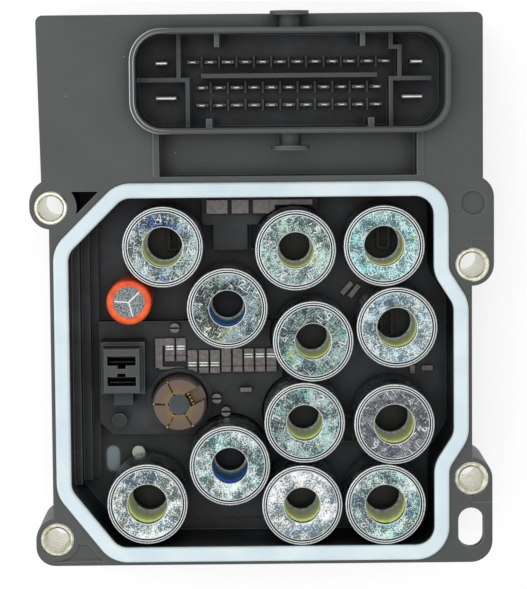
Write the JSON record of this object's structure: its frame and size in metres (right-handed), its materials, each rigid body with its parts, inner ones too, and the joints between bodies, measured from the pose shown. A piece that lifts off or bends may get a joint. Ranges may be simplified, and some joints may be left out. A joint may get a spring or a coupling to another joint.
{
  "type": "abs brake module",
  "caption": "Control half of an anti-lock brake module: plug shroud, sealed cavity with solenoid coils that slip over valve domes, and screw sleeves",
  "frame": {"origin": "under the middle of the module, on the plane of its flat rear cover", "axes": "+Z out of the coil cavity towards the hydraulic block, +Y towards the plug end, +X to the right seen from the cavity side"},
  "size_m": [0.1059, 0.1268, 0.036],
  "materials": {
    "housing_plastic": "glass-filled polyamide, moulded, fine satin grain",
    "cover_plastic": "glass-filled polyamide plate, welded on",
    "board_laminate": "glass and epoxy laminate with solder resist",
    "gasket_rubber": "pale blue silicone bead, smooth",
    "sleeve_steel": "zinc-plated turned steel",
    "zinc_can": "drawn steel, zinc-plated",
    "zinc_ring": "stamped steel, zinc-plated, mottled",
    "bobbin_yellow_green": "moulded polyester, natural yellow-green",
    "bobbin_blue": "moulded polyester, blue",
    "copper_winding": "enamelled copper wire, close wound",
    "collar_steel": "drawn steel tube",
    "tinned_wire": "tinned copper wire",
    "capacitor_aluminium": "drawn aluminium can",
    "capacitor_film": "shrunk orange film",
    "socket_plastic": "glass-filled polyester, moulded",
    "tinned_contact": "folded tinned bronze strip",
    "choke_ferrite": "pressed and fired ferrite, coated",
    "choke_copper": "enamelled flat copper wire",
    "tinned_terminal": "tinned brass, stamped",
    "tinned_strip": "stamped bronze strip, tinned",
    "vent_plastic": "pale moulded plug",
    "vent_film": "microporous vent film"
  },
  "bodies": {
    "root": {"housing": "housing_plastic", "rear_cover": "cover_plastic", "circuit_board": "board_laminate", "sealing_gasket": "gasket_rubber", "mounting_sleeve_1": "sleeve_steel", "mounting_sleeve_2": "sleeve_steel", "mounting_sleeve_3": "sleeve_steel", "mounting_sleeve_4": "sleeve_steel", "coil_can_1": "zinc_can", "coil_ring_1": "zinc_ring", "coil_bobbin_1": "bobbin_yellow_green", "coil_can_2": "zinc_can", "coil_ring_2": "zinc_ring", "coil_bobbin_2": "bobbin_blue", "coil_can_3": "zinc_can", "coil_ring_3": "zinc_ring", "coil_bobbin_3": "bobbin_yellow_green", "coil_can_4": "zinc_can", "coil_ring_4": "zinc_ring", "coil_bobbin_4": "bobbin_yellow_green", "coil_can_5": "zinc_can", "coil_ring_5": "zinc_ring", "coil_bobbin_5": "bobbin_yellow_green", "coil_can_6": "zinc_can", "coil_ring_6": "zinc_ring", "coil_bobbin_6": "bobbin_yellow_green", "coil_can_7": "zinc_can", "coil_ring_7": "zinc_ring", "coil_bobbin_7": "bobbin_yellow_green", "coil_can_8": "zinc_can", "coil_ring_8": "zinc_ring", "coil_bobbin_8": "bobbin_yellow_green", "coil_can_9": "zinc_can", "coil_ring_9": "zinc_ring", "coil_bobbin_9": "bobbin_blue", "coil_can_10": "zinc_can", "coil_ring_10": "zinc_ring", "coil_bobbin_10": "bobbin_yellow_green", "coil_can_11": "zinc_can", "coil_ring_11": "zinc_ring", "coil_bobbin_11": "bobbin_yellow_green", "coil_can_12": "zinc_can", "coil_ring_12": "zinc_ring", "coil_bobbin_12": "bobbin_yellow_green", "coil_windings": "copper_winding", "coil_collars": "collar_steel", "coil_leads": "tinned_wire", "capacitor_can": "capacitor_aluminium", "capacitor_sleeve": "capacitor_film", "motor_socket": "socket_plastic", "motor_contacts": "tinned_contact", "choke_core": "choke_ferrite", "choke_winding": "choke_copper", "signal_pins": "tinned_terminal", "power_blades": "tinned_terminal", "lead_frame": "tinned_strip", "split_posts": "tinned_strip", "vent_plug": "vent_plastic", "vent_membrane": "vent_film"}
  },
  "joints": []
}
